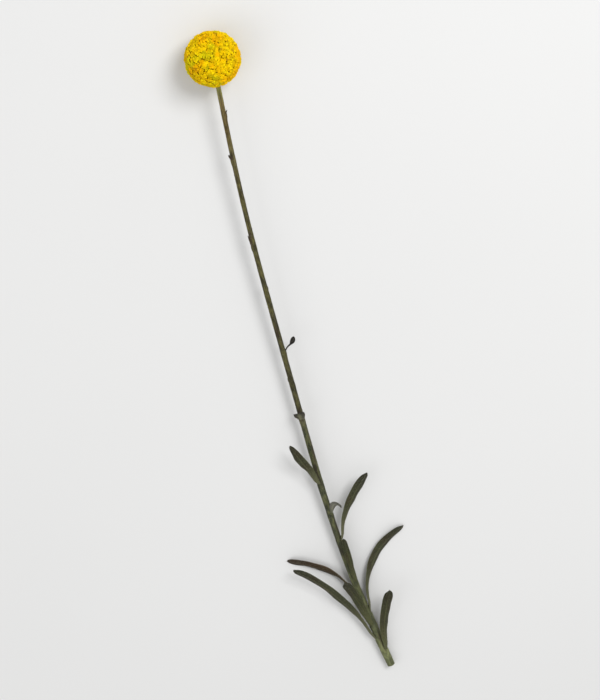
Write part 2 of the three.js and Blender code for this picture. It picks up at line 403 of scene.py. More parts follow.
class Growth(Graph):
    """A geometry node group with named inputs, which grows one mesh."""

    KINDS = {
        int: "Int", float: "Float", tuple: "Vector", Euler: "Rotation", type(None): "Geometry",
        Material: "Material", Collection: "Collection", Object: "Object",
    }

    def __init__(self, name: str, **inputs: object) -> None:
        """Starts a group.

        Args:
            name: the group's name.
            inputs: its named inputs and what they are set to, or None for a geometry.
        """
        super().__init__(bpy.data.node_groups.new(name, "GeometryNodeTree"))
        self.inputs = inputs
        new_socket = self.tree.interface.new_socket
        for key, value in inputs.items():
            new_socket(key, in_out="INPUT", socket_type=f"NodeSocket{self.KINDS[type(value)]}")
        new_socket("grown", in_out="OUTPUT", socket_type="NodeSocketGeometry")
        entry = self.tree.nodes.new("NodeGroupInput")
        self.given = SimpleNamespace(**{key: Value(self, entry.outputs[key]) for key in inputs})

    def kept(self, geometry: Value, name: str, value: Value) -> tuple[Value, Value]:
        """Keeps a value on every point, which later nodes and shaders read.

        Args:
            geometry: the points.
            name: what the value is kept under.
            value: a number or a vector.

        Returns:
            The points, and the value as it is read back.
        """
        kind = {"data_type": "FLOAT_VECTOR" if self.is_wide(value) else "FLOAT"}
        points = self.node("GeometryNodeStoreNamedAttribute", kind, geometry, Name=name, Value=value)
        return points, self.node("GeometryNodeInputNamedAttribute", kind, name)

    def chance(self, low: Term, high: Term, seed: Term, **terms: Term) -> Value:
        """A random number or vector for each point."""
        kind = "FLOAT_VECTOR" if self.is_wide(low) else "FLOAT"
        return self.node("FunctionNodeRandomValue", {"data_type": kind}, low, high, Seed=seed, **terms)

    def vector(self, x: Term, y: Term, z: Term) -> Value:
        """A vector from its three parts."""
        return self.node("ShaderNodeCombineXYZ", {}, x, y, z)

    def facing(self, direction: Value, seed: Term) -> Value:
        """The rotation that stands +Z along a direction, turned about it by chance.

        Args:
            direction: the direction.
            seed: for the turns.

        Returns:
            The rotation.
        """
        turn = self.chance(0.0, 2 * math.pi, seed)
        spin = self.node("FunctionNodeAxisAngleToRotation", {}, (0.0, 0.0, 1.0), turn)
        stand = self.node("FunctionNodeAlignRotationToVector", {"axis": "Z"}, Vector=direction)
        return self.node("FunctionNodeRotateRotation", {"rotation_space": "LOCAL"}, stand, spin)

    def planted(self, points: Value, **terms: Term) -> Value:
        """Points with an instance on each, made real."""
        placed = self.node("GeometryNodeInstanceOnPoints", {}, points, **terms)
        return self.node("GeometryNodeRealizeInstances", {}, placed)

    def end(self, geometry: Value) -> "Growth":
        """Makes this geometry what the group grows."""
        self.node("NodeGroupOutput", {}, geometry)
        return self

    def run(self, name: str, base: Mesh, **changes: object) -> Object:
        """Runs the group on a mesh.

        Args:
            name: the new piece's name.
            base: the mesh that it starts from.
            changes: inputs that differ from the group's own.

        Returns:
            A piece with a plain mesh and no modifier.
        """
        piece = add_object(name, base)
        modifier = piece.modifiers.new("growth", "NODES")
        modifier.node_group = self.tree
        inputs = {**self.inputs, **changes}
        for item in self.tree.interface.items_tree:
            if inputs.get(item.name) is not None:
                modifier[item.identifier] = inputs[item.name]
        depsgraph = bpy.context.evaluated_depsgraph_get()
        mesh = bpy.data.meshes.new_from_object(piece.evaluated_get(depsgraph), depsgraph=depsgraph)
        piece.modifiers.clear()
        piece.data = mesh
        mesh.name = name
        return piece


# ---- Mesh building ----


@dataclass
class Body:
    """A closed mesh while it is built, with a vector of each field for every vertex."""

    vertices: Array
    faces: list[tuple[int, ...]]
    fields: dict[str, Array] = field(default_factory=dict)
    slots: Array | None = None

    def __post_init__(self) -> None:
        """Turns the faces outwards, and gives them the first slot if none is given."""
        corners = [face[:1] + face[i : i + 2] for face in self.faces for i in range(1, len(face) - 1)]
        a, b, c = self.vertices[np.array(corners).T]
        if np.einsum("ij,ij->", a, np.cross(b, c)) < 0:
            self.faces = [face[::-1] for face in self.faces]
        if self.slots is None:
            self.slots = np.zeros(len(self.faces))

    def joined(self, others: Sequence["Body"]) -> "Body":
        """This body with others in the same mesh.

        Args:
            others: bodies with the same fields.

        Returns:
            The whole.
        """
        bodies = [self, *others]
        starts = np.cumsum([0] + [len(body.vertices) for body in bodies]).tolist()
        faces = [tuple(start + i for i in face) for body, start in zip(bodies, starts) for face in body.faces]
        vertices = np.concatenate([body.vertices for body in bodies])
        fields = {key: np.concatenate([body.fields[key] for body in bodies]) for key in self.fields}
        return Body(vertices, faces, fields, np.concatenate([body.slots for body in bodies]))

    def mesh(self, name: str, materials: Sequence[Material]) -> Mesh:
        """Makes the Blender mesh.

        Args:
            name: its name.
            materials: one for each slot number that the faces have.

        Returns:
            The mesh, smooth but for its sharp edges.
        """
        mesh = bpy.data.meshes.new(name)
        mesh.from_pydata(self.vertices.tolist(), [], self.faces)
        for material in materials:
            mesh.materials.append(material)
        mesh.polygons.foreach_set("material_index", self.slots.astype(np.int32))
        mesh.polygons.foreach_set("use_smooth", np.ones(len(self.faces), bool))
        for key, values in self.fields.items():
            attribute = mesh.attributes.new(key, "FLOAT_VECTOR", "POINT")
            attribute.data.foreach_set("vector", values.astype(np.float32).ravel())
        mesh.set_sharp_from_angle(angle=SHARP)
        mesh.update()
        return mesh


def ring_quads(rings: int, around: int) -> list[tuple[int, ...]]:
    """The quads between closed rings of vertices that lie one after another.

    Args:
        rings: how many rings there are.
        around: how many vertices each has.

    Returns:
        The quads.
    """
    steps = [(i * around, j, (j + 1) % around) for i in range(rings - 1) for j in range(around)]
    return [(low + j, low + after, low + around + after, low + around + j) for low, j, after in steps]


def tube(rings: Sequence[Array], tip: Sequence[float]) -> Body:
    """A closed tube that is flat at its start and ends in a point.

    Args:
        rings: its rings of vertices.
        tip: the point.

    Returns:
        The tube.
    """
    count = len(rings[0])
    last = (len(rings) - 1) * count
    faces = ring_quads(len(rings), count) + [tuple(range(count))[::-1]]
    faces += [(last + i, last + (i + 1) % count, last + count) for i in range(count)]
    return Body(np.concatenate((*rings, [tip])), faces)


# ---- Finishes ----


class Tone(Enum):
    """The colouring of a leaf or scale leaf."""

    GREY_GREEN = "grey_green"
    DEEP_GREEN = "deep_green"
    RED_BROWN = "red_brown"
    PURPLE = "purple"
    CLASPING = "clasping"
    SILVER = "silver"


@dataclass(frozen=True)
class FloretFinish:
    """Golden florets, warmer and greener in patches, with painted shade low on each floret, in part in its
    throat, and in the pits where florets sink between the others.
    """

    golden: int = 0xEFCA02
    lemon: int = 0xF5DD0A
    orange: int = 0xEFB400
    unripe: int = 0xCCCB0C
    # The throat's own orange, deepened in part by painted shade in the floret's cup.
    throat: int = 0xD0A000
    # The colour of painted shade on each floret's lower sides.
    side: int = 0xA88402
    # The colour of painted shade in the pits between the small heads.
    pit: int = 0xA88602
    dried: int = 0x8A5A14
    dried_from: float = 0.98

    def material(self, centre: Vector, radius: float) -> Material:
        """Makes the material.

        Args:
            centre: the head's middle in the frame, in metres.
            radius: the head's radius in millimetres.

        Returns:
            The florets' material.
        """
        shader = Shader("floret_petals")
        place = shader.place() - tuple(centre / MM)
        chance, cluster, _ = shader.field("chance").parts()
        heart, height, _ = shader.field("form").parts()
        depth = place.length() - radius
        spread = 0.12 * (chance - 0.5) + 0.16 * (cluster - 0.5)
        warm = shader.noise(place, 0.13, 3.0) + spread
        green = shader.noise(place + (40.0, 0.0, 0.0), 0.12, 3.0) - spread
        pale = shader.noise(place, 0.4) + 0.2 * (chance - 0.5)
        fine = shader.noise(place, 4.0)
        colour = shader.coated(
            self.golden,
            (self.lemon, pale.eased(0.4, 0.66) * 0.8),
            (self.orange, warm.eased(0.48, 0.64) * 0.75),
            (self.unripe, green.eased(0.54, 0.7) * 0.7),
            # The throat's own orange, with painted shade deep in each floret's cup.
            (self.throat, heart * 0.6),
            # Painted shade, darker down each floret's sides.
            (self.side, 1 - height.eased(-0.7, -0.12)),
            # Painted shade in the pits, deeper towards the receptacle.
            (self.pit, 1 - depth.eased(-1.9, -0.9)),
            (self.dried, (chance > self.dried_from) * height.eased(-0.5, 0.1) * 0.75),
        )
        colour = colour * (0.74 + 0.36 * chance)
        return shader.finish(colour, 0.6 + 0.2 * fine, fine * 0.06, Specular_IOR_Level=0.05)


@dataclass(frozen=True)
class CoreFinish:
    """The receptacle between the florets, its colour darkened in part as painted shade in the gaps."""

    deep: int = 0x8A6A02
    light: int = 0xC29C06

    def material(self) -> Material:
        """Makes the material.

        Returns:
            The receptacle's material.
        """
        shader = Shader("receptacle")
        grain = shader.noise(shader.place(), 1.2, 3.0)
        # Both tones are dark in part as painted shade deep between the florets.
        colour = shader.coated(self.deep, (self.light, grain.eased(0.35, 0.7)))
        return shader.finish(colour, 0.9, grain * 0.3, Specular_IOR_Level=0.05)


@dataclass(frozen=True)
class StalkFinish:
    """Olive skin with purple-brown flushes, under lines of pale wool.

    zones are the skin's colours down the stalk, each from a share of its length. The mesh's skin
    field holds a direction round the stalk, and the way down.
    """

    length: float
    # The paler band at 0.547 and 0.556, just below the clasping leaf, is in part a painted highlight.
    zones: tuple[tuple[float, int], ...] = (
        (0.0, 0x8A8C4A), (0.024, 0x766534), (0.05, 0x624F22), (0.1, 0x594F2C), (0.16, 0x4E4720),
        (0.25, 0x47431F), (0.4, 0x3A361A), (0.54, 0x37341C), (0.547, 0x55563E), (0.556, 0x484A30),
        (0.565, 0x42462C), (0.6, 0x40462A), (0.7, 0x424630), (0.85, 0x50563A), (1.0, 0x7A8058),
    )
    olive: int = 0x5E5A30
    flush: int = 0x3A2A24
    wool: int = 0x9A9680
    pith: int = 0xC9CFA0
    rind: int = 0x7C8250

    def skin(self) -> Material:
        """Makes the material of the stalk's outside.

        Returns:
            The material.
        """
        shader = Shader("stalk_skin")
        skin = shader.field("skin")
        zone = shader.node("ShaderNodeValToRGB", {}, skin.parts()[2] / self.length)
        stops = zone.socket.node.color_ramp.elements
        while len(stops) < len(self.zones):
            stops.new(0.5)
        for stop, (place, colour) in zip(stops, self.zones):
            stop.position, stop.color = place, (*linear(colour), 1.0)
        lines = shader.noise(skin * (3.0, 3.0, 0.09), 1.0, 3.0, 0.6)
        blotch = shader.noise(skin * (0.7, 0.7, 0.045), 1.0, 3.0)
        mottle = shader.noise(skin * (0.7, 0.7, 0.17), 1.0, 3.0, 0.55)
        fleck = shader.noise(skin * (2.2, 2.2, 0.36), 1.0)
        fine = shader.noise(shader.place(), 3.0, 3.0, 0.6)
        bright = shader.coated(1.35 * zone, (self.olive, 0.35))
        colour = shader.coated(bright, (0.56 * zone, mottle.eased(0.38, 0.62)))
        colour = shader.coated(1.3 * colour, (0.66 * colour, fleck.eased(0.3, 0.7)))
        colour = shader.coated(
            colour * (0.75 + 0.5 * fine),
            (self.flush, blotch.eased(0.52, 0.68) * 0.6),
            (0.45, (1 - lines.eased(0.3, 0.5)) * 0.6),
            (self.wool, lines.eased(0.55, 0.75) * 0.4 * fine.eased(0.3, 0.6)),
        )
        relief = lines * 0.12 + fine * 0.04
        return shader.finish(colour, 0.62 + 0.2 * lines, relief, Sheen_Weight=0.05, Specular_IOR_Level=0.25)

    def cut(self) -> Material:
        """Makes the material of the cut end: pale pith in a green rind with darker strands.

        Returns:
            The material.
        """
        shader = Shader("stalk_cut")
        skin = shader.field("skin")
        out = (skin * (1.0, 1.0, 0.0)).length()
        strands = shader.noise(skin * (9.0, 9.0, 1.0), 1.0)
        dark = strands.eased(0.55, 0.7) * out.eased(0.4, 0.7)
        colour = shader.coated(self.pith, (self.rind, out.eased(0.62, 0.9)), (0.5, dark))
        return shader.finish(colour, 0.7, strands * 0.1)


@dataclass(frozen=True)
class LeafFinish:
    """A woolly blade: darker between its veins, paler on its edges and rib, and dark at the tip."""

    upper: int
    lower: int
    rib: int
    edge: int
    tip: int
    foot: int
    rib_reach: float = 0.16
    flush: int = 0x3A2E1C
    wool: int = 0x86856F

    def material(self, name: str) -> Material:
        """Makes the material. The skin field holds across, along and the face, from -1 to 1.

        Args:
            name: its name.

        Returns:
            The material.
        """
        shader = Shader(name)
        skin, place = shader.field("skin"), shader.place()
        across, along, face = skin.parts()
        out = across.size()
        veins = shader.noise(skin * (5.5, 1.6, 1.0), 1.0)
        blotch, warm = shader.noise(place, 0.22, 3.0), shader.noise(place + (90.0, 0.0, 0.0), 0.11)
        fine = shader.noise(place, 2.6, 3.0, 0.65)
        colour = shader.coated(
            self.upper,
            (self.lower, face.eased(-0.5, 0.5)),
            (self.flush, warm.eased(0.46, 0.66) * 0.55),
            (0.55, blotch.eased(0.5, 0.72) * 0.6),
            (self.foot, 1 - along.eased(0.05, 0.5)),
            (self.rib, (1 - out.eased(0.02, self.rib_reach)) * 0.6),
            (self.edge, out.eased(0.78, 0.98) * 0.7),
            (self.tip, along.eased(0.55, 1.0) * 0.6),
            (0.6, (1 - veins.eased(0.32, 0.5)) * 0.5),
            (self.wool, fine.eased(0.52, 0.72) * 0.2),
        )
        relief = veins * 0.14 + fine * 0.05
        return shader.finish(colour, 0.6 + 0.2 * fine, relief, Sheen_Weight=0.03, Specular_IOR_Level=0.2)


LEAF_FINISHES = {
    Tone.GREY_GREEN: LeafFinish(0x2E301E, 0x383A24, 0x5A5B3C, 0x50523A, 0x1A1A12, 0x5C5D40),
    Tone.DEEP_GREEN: LeafFinish(0x2B2D16, 0x34361C, 0x545532, 0x4A4C2E, 0x1A1A10, 0x505232),
    Tone.RED_BROWN: LeafFinish(0x38281A, 0x423222, 0x624E36, 0x584632, 0x22180F, 0x504A30),
    Tone.PURPLE: LeafFinish(0x120E0D, 0x161211, 0x241E1B, 0x1C1816, 0x0E0B0B, 0x2C2720),
    Tone.CLASPING: LeafFinish(0x34332A, 0x413F35, 0x7E7E62, 0x2C2A26, 0x1C1A17, 0x5C5C48, 0.5),
    Tone.SILVER: LeafFinish(0x4A4942, 0x6A6A60, 0x8C8C7C, 0x5A5952, 0x22201C, 0x4A4E34, 0.6),
}


@dataclass(frozen=True)
class WoolFinish:
    """Fine silvery hair."""

    root: int = 0x4C4B36
    tip: int = 0x86836B

    def material(self) -> Material:
        """Makes the material.

        Returns:
            The hairs' material.
        """
        shader = Shader("wool")
        chance = shader.noise(shader.place(), 0.8, 1.0)
        colour = shader.coated(self.root, (self.tip, chance.eased(0.3, 0.7)))
        return shader.finish(colour, 0.55, Sheen_Weight=0.3)


# ---- The flower head ----


@dataclass(frozen=True)
class FloretForm:
    """One floret on its axis +Z: a tube that opens in rounded lobes, with anthers in its throat.

    bud and star are its forms at the ends of its bloom. They are rings at the root, flare, lobes,
    rim, throat and crown, each as the radius at a lobe and at a notch and the height at both, in
    millimetres. hearts say how near the throat each ring is, for the colour: the throat's own
    orange, deepened in part by painted shade in the floret's cup.
    """

    bloom: float
    lobes: int = 5
    bud: Rings = (
        (0.36, 0.36, -1.8, -1.8), (0.624, 0.576, -0.46, -0.46), (0.47, 0.48, -0.12, -0.2),
        (0.28, 0.252, 0.14, 0.14), (0.1, 0.1, 0.22, 0.22), (0.0, 0.0, 0.25, 0.25),
    )
    star: Rings = (
        (0.36, 0.36, -1.8, -1.8), (0.624, 0.576, -0.46, -0.46), (0.76, 0.6, -0.15, -0.23),
        (0.5, 0.45, 0.02, -0.03), (0.24, 0.24, -0.14, -0.14), (0.0, 0.0, -0.26, -0.26),
    )
    hearts: Floats = (0.0, 0.0, 0.0, 0.1, 0.7, 1.0)
    anthers: Rings = ((0.15, 0.15, -0.34, -0.34), (0.12, 0.12, 0.12, 0.12), (0.0, 0.0, 0.2, 0.2))
    anther_hearts: Floats = (0.9, 0.3, 0.15)
    anthers_from: float = 0.4

    @staticmethod
    def _turned(rings: Array, hearts: Sequence[float], lobes: int) -> Body:
        """Turns rings round the axis. The last of them is a point.

        Args:
            rings: the rings, as in a bud.
            hearts: the heart of each.
            lobes: how many lobes they have.

        Returns:
            The body. Its form field holds the heart and the height of each vertex.
        """
        radius, height, angle = np.tile(rings[:, :2], lobes), np.tile(rings[:, 2:], lobes), turns(2 * lobes)
        places = stack(radius * np.cos(angle), radius * np.sin(angle), height)
        body = tube(places[:-1], places[-1, 0])
        heart = np.repeat(hearts, 2 * lobes)[: len(body.vertices)]
        body.fields["form"] = stack(heart, body.vertices[:, 2], 0.0)
        return body

    def body(self) -> Body:
        """Builds the floret.

        Returns:
            Its body.
        """
        rings = lerp(np.array(self.bud), np.array(self.star), self.bloom)
        anthers = self._turned(np.array(self.anthers), self.anther_hearts, 2)
        parts = [anthers] if self.bloom > self.anthers_from else []
        return self._turned(rings, self.hearts, self.lobes).joined(parts)


@dataclass
class FlowerHead:
    """The round head: small heads of florets packed on a round receptacle, flattened where it lies.

    Its numbers are inputs of the group that grows it: sizes in millimetres, wander, draw and
    reach as shares of the radius, and the bare cap round the stalk in radians.
    """

    line: StemLine
    space: PlantSpace
    florets: int = 1640
    clusters: int = 190
    floret_wander: float = 0.022
    cluster_wander: float = 0.09
    cluster_draw: float = 0.045
    cluster_reach: float = 0.155
    dome: float = 0.42
    spread: float = 1.5
    height_spread: float = 0.34
    cluster_heights: float = 0.3
    size: float = 1.18
    size_spread: float = 0.14
    bare_cap: float = 0.115
    core_radius: float = 12.55
    core_finesse: int = 5
    press_depth: float = 0.5
    blooms: Floats = (0.15, 0.55, 0.85, 1.0)

    @staticmethod
    def _spiral() -> NodeTree:
        """The group that spreads points evenly over a ball on a golden spiral, each a little off.

        Returns:
            Its node tree.
        """
        graph = Growth("golden_spiral", count=1, wander=0.0, seed=0)
        given = graph.given
        index = graph.node("GeometryNodeInputIndex", {})
        height = 1 - 2 * (index + 0.5) / given.count
        reach = (1 - height * height) ** 0.5
        turn = index * GOLDEN_TURN
        even = graph.vector(reach * turn.cosine(), height, reach * turn.sine())
        shift = graph.chance((-1.0, -1.0, -1.0), (1.0, 1.0, 1.0), given.seed)
        place = (even + shift * given.wander).direction()
        return graph.end(graph.node("GeometryNodePoints", {}, given.count, place)).tree

    def _group(self, **things: object) -> Growth:
        """The group that sets a floret at each point of the ball, in small domed heads.

        Args:
            things: its inputs beside the head's own numbers.

        Returns:
            The group.
        """
        numbers = {name: value for name, value in vars(self).items() if isinstance(value, (int, float))}
        graph = Growth("floret_head", **numbers, **things)
        node, chance, given, seed = graph.node, graph.chance, graph.given, graph.given.seed
        spiral = {"node_tree": self._spiral()}
        position = node("GeometryNodeInputPosition", {})
        middles = node("GeometryNodeGroup", spiral, given.clusters, given.cluster_wander, seed)
        points = node("GeometryNodeGroup", spiral, given.florets, given.floret_wander, seed + 1)

        # Each floret leans to the middle of its own small head, and sinks towards that head's rim.
        nearest = node("GeometryNodeSampleNearest", {}, middles, position)
        middle = node("GeometryNodeSampleIndex", {"data_type": "FLOAT_VECTOR"}, middles, position, nearest)
        points, middle = graph.kept(points, "middle", middle)
        points, cluster = graph.kept(points, "cluster", chance(0.0, 1.0, seed + 7, ID=nearest))
        drawn = (position + (middle - position) * given.cluster_draw).direction()
        points, direction = graph.kept(points, "direction", drawn)
        aside = direction - middle
        rim = aside.length() / given.cluster_reach
        points, _ = graph.kept(points, "chance", graph.vector(chance(0.0, 1.0, seed + 2), cluster, 0.0))
        drop = given.dome * rim * rim + chance(0.0, 1.0, seed + 3) * given.height_spread
        drop = drop + cluster * given.cluster_heights
        points = node("GeometryNodeSetPosition", {}, points, Position=direction * (given.radius - drop))
        in_cap = direction.dot((0.0, -1.0, 0.0)) > given.bare_cap.cosine()
        points = node("GeometryNodeDeleteGeometry", {}, points, in_cap)

        facing = graph.facing((direction + aside * given.spread).direction(), seed + 4)
        size = given.size + (chance(0.0, 1.0, seed + 5) - 0.5) * 2 * given.size_spread
        forms = node("GeometryNodeCollectionInfo", {}, given.forms, True, True)
        pick = node("FunctionNodeRandomValue", {"data_type": "INT"}, 0, len(self.blooms) - 1, Seed=seed + 6)
        florets = graph.planted(
            points, Instance=forms, Pick_Instance=True, Instance_Index=pick, Rotation=facing, Scale=size
        )
        florets = node("GeometryNodeSetMaterial", {}, florets, Material=given.petals)
        core = node("GeometryNodeMeshIcoSphere", {}, given.core_radius, given.core_finesse)
        core = node("GeometryNodeSetMaterial", {}, core, Material=given.core)
        joined = node("GeometryNodeJoinGeometry", {}, core)
        graph.tree.links.new(florets.socket, joined.socket.node.inputs[0])
        placed = node("GeometryNodeTransform", {}, joined, Translation=given.centre, Rotation=given.turn)

        # Where the head lies, what would sink into the ground is pressed together just above it.
        x, y, height = position.parts()
        depth = given.press_depth
        pressed = height.at_least(depth) * ((height - depth).at_most(0.0) / depth).exponent()
        return graph.end(node("GeometryNodeSetPosition", {}, placed, Position=graph.vector(x, y, pressed)))

    def build(self) -> None:
        """Makes the head and gives it its place."""
        centre, radius = self.line.head_centre(), self.line.head_radius
        petals = FloretFinish().material(self.space.matrix @ Vector(centre), radius)
        forms = bpy.data.collections.new("floret_forms")
        for number, bloom in enumerate(self.blooms):
            name = f"floret_form_{number}"
            mesh = FloretForm(bloom).body().mesh(name, [petals])
            forms.objects.link(bpy.data.objects.new(name, mesh))
        along = Vector(self.line.section(0.0).along)
        turn = Vector((0, 1, 0)).rotation_difference(along).to_euler()
        group = self._group(
            radius=radius, centre=tuple(centre), turn=turn, forms=forms, core=CoreFinish().material(),
            petals=petals, seed=SEED,
        )
        head = group.run("head_florets", bpy.data.meshes.new("head_base"))
        for form in list(forms.objects):
            bpy.data.objects.remove(form)
        bpy.data.collections.remove(forms)
        head.data.polygons.foreach_set("use_smooth", np.ones(len(head.data.polygons), bool))
        self.space.settle(head, "florets", "flower_head")


# ---- Wool ----


@dataclass
class Wool:
    """Fine hair that lies along a surface in its grain. Each hair's knee is at a share of its height."""

    space: PlantSpace
    length: float = 1.1
    lengths: Pair = (0.5, 1.3)
    radius: float = 0.012
    sides: int = 3
    knee: float = 0.55
    narrowing: float = 0.6
    bend: float = 0.22
    lift: float = 0.2
    stray: float = 0.4
    ground: float = 0.01
    strand: Object = field(init=False)
    group: Growth = field(init=False)

    def __post_init__(self) -> None:
        """Makes the finish, the strand and the node group once."""
        material = WoolFinish().material()
        self.strand = bpy.data.objects.new("strand", self._strand().mesh("strand", [material]))
        self.group = self._group(material)

    def _strand(self) -> Body:
        """One hair on +Z, one unit long, bent and tapering to its tip.

        Returns:
            Its body.
        """
        x, y = np.cos(turns(self.sides)), np.sin(turns(self.sides))
        rings = []
        for height in (0.0, self.knee):
            reach = self.radius / self.length * (1 - self.narrowing * height)
            rings.append(stack(reach * x + self.bend * height * height, reach * y, height))
        return tube(rings, (self.bend, 0.0, 1.0))

    def _group(self, material: Material) -> Growth:
        """The group that sets hairs over the mesh that it is given.

        Args:
            material: the hairs' material.

        Returns:
            The group.
        """
        graph = Growth("wool", surface=None, density=1.0, length=self.length, lift=self.lift,
                       stray=self.stray, strand=self.strand, material=material, seed=SEED)
        node, given, seed = graph.node, graph.given, graph.given.seed
        places = {"Density": given.density, "Seed": seed}
        points = node("GeometryNodeDistributePointsOnFaces", {}, given.surface, **places)
        normal = points.also("Normal")
        grain = node("GeometryNodeInputNamedAttribute", {"data_type": "FLOAT_VECTOR"}, "grain")
        shift = graph.chance((-1.0, -1.0, -1.0), (1.0, 1.0, 1.0), seed + 1)
        lying = (grain + normal.cross(shift) * given.stray).direction()
        facing = graph.facing((lying + normal * given.lift).direction(), seed + 2)
        strand = node("GeometryNodeObjectInfo", {}, given.strand).also("Geometry")
        size = given.length * graph.chance(*self.lengths, seed + 3)
        hairs = graph.planted(points, Instance=strand, Rotation=facing, Scale=size)
        x, y, height = node("GeometryNodeInputPosition", {}).parts()
        above = graph.vector(x, y, height.at_least(self.ground))
        hairs = node("GeometryNodeSetPosition", {}, hairs, Position=above)
        return graph.end(node("GeometryNodeSetMaterial", {}, hairs, Material=given.material))

    def dress(self, mesh: Mesh, slot: str, node: str, density: float, number: int = 0) -> None:
        """Makes pieces of a finished mesh and of hair grown on it, and gives them their places.

        Args:
            mesh: a mesh in the plant's space, with a grain field.
            slot: not used, only passed on to settle.
            node: the solid that the mesh stands for.
            density: hairs for each square millimetre.
            number: the leaf's number, or 0 for the stalk.
        """
        piece = add_object(mesh.name, mesh)
        name = f"leaf_wool_{number}" if number else "stalk_wool"
        wool = self.group.run(name, mesh.copy(), density=density, seed=SEED + number)
        self.space.settle(piece, slot, node)
        self.space.settle(wool, slot)


# ---- Leaves and scale leaves ----


@dataclass(frozen=True)
class BladePlan:
    """Where one leaf stands and how it grows. Angles are in degrees.

    around is 0 to the right seen from above, 90 up and 180 to the left. leave, sweep and tip are
    the angles between blade and stalk at its foot, middle and tip, and sink is how far the tip
    hangs. foot and point are the shares of its width at the foot and near the tip, and pinch and
    blunt those of these two at the very ends. petiole, widest and taper are the shares of its
    length where the foot's width ends, where it is widest and where its tip starts.
    """

    down: float
    around: float
    length: float
    width: float
    leave: float
    sweep: float
    tip: float
    twist: float = 0.0
    sink: float = 0.0
    foot: float = 0.7
    petiole: float = 0.0
    widest: float = 0.62
    taper: float = 0.84
    point: float = 0.37
    tone: Tone = Tone.GREY_GREEN
    pinch: float = 0.55
    pinch_end: float = 0.08
    blunt: float = 0.3
    blunt_from: float = 0.94

    def half_width(self, share: Array) -> Array:
        """Half the width: a narrow foot, a wide upper part and a blunt tip.

        Args:
            share: shares of the length.

        Returns:
            The half width at each.
        """
        foot = self.foot * lerp(self.pinch, 1, smooth(share / self.pinch_end))
        half = self.width / 2 * lerp(foot, 1, smooth((share - self.petiole) / (self.widest - self.petiole)))
        for start, end in ((self.taper, self.point), (self.blunt_from, self.blunt)):
            fall = np.maximum(0, share - start) / (1 - start)
            half = half * np.sqrt(1 - (1 - end**2) * fall**2)
        return half

    def angle(self, share: Array) -> Array:
        """The angle between blade and stalk at shares of the length, in radians."""
        lower = lerp(self.leave, self.sweep, smooth(2 * share))
        return np.radians(lerp(lower, self.tip, smooth((share - 0.4) / 0.6)))


BROWN_SCALE = partial(BladePlan, taper=0.4, point=0.15, tone=Tone.RED_BROWN)
LEAVES = (
    BladePlan(214, 142, 29, 5.2, 5, 26, 18, 44, foot=0.85, taper=0.4, widest=0.36),
    BladePlan(248, 10, 43, 5.2, 14, 35, 46, -58),
    BladePlan(273, 58, 28, 3.2, 3, 9, 5, -15, tone=Tone.DEEP_GREEN),
    BladePlan(282, 191, 44, 5, 6, 46, 68, 66, 3, tone=Tone.RED_BROWN),
    BladePlan(293, 350, 56, 5.6, 5, 34, 72, -66, 3),
    BladePlan(300, 103, 38, 4.8, 5, 18, 34, 18, tone=Tone.DEEP_GREEN),
    BladePlan(309, 160, 63, 5.6, 6, 24, 44, 46, 5),
    BladePlan(316, 36, 41, 5.2, 8, 30, 36, -44, 3, tone=Tone.DEEP_GREEN),
)
SCALES = (
    BROWN_SCALE(14, 10, 2.6, 1.6, 12, 22, 40),
    BROWN_SCALE(37, 138, 3.6, 2.8, 5, 20, 22, point=0.5),
    BROWN_SCALE(58, 262, 3.4, 1.9, 8, 14, 22),
    BROWN_SCALE(82, 168, 6.5, 2.3, 3, 7, 3, taper=0.5),
    BROWN_SCALE(108, 285, 5.6, 2.2, 8, 14, 20),
    BladePlan(139, 12, 10, 2.6, 30, 62, 18, -70, 0, 0.4, 0.5, 0.72, 0.74, 0.1, Tone.PURPLE),
    BROWN_SCALE(158, 248, 5.4, 2.4, 8, 16, 30),
    BladePlan(177, 106, 5.6, 6.1, 8, 20, 38, 8, foot=0.55, tone=Tone.CLASPING),
    BladePlan(232, 36, 12.5, 3.9, 14, 34, 150, -58, foot=0.5, tone=Tone.SILVER),
)


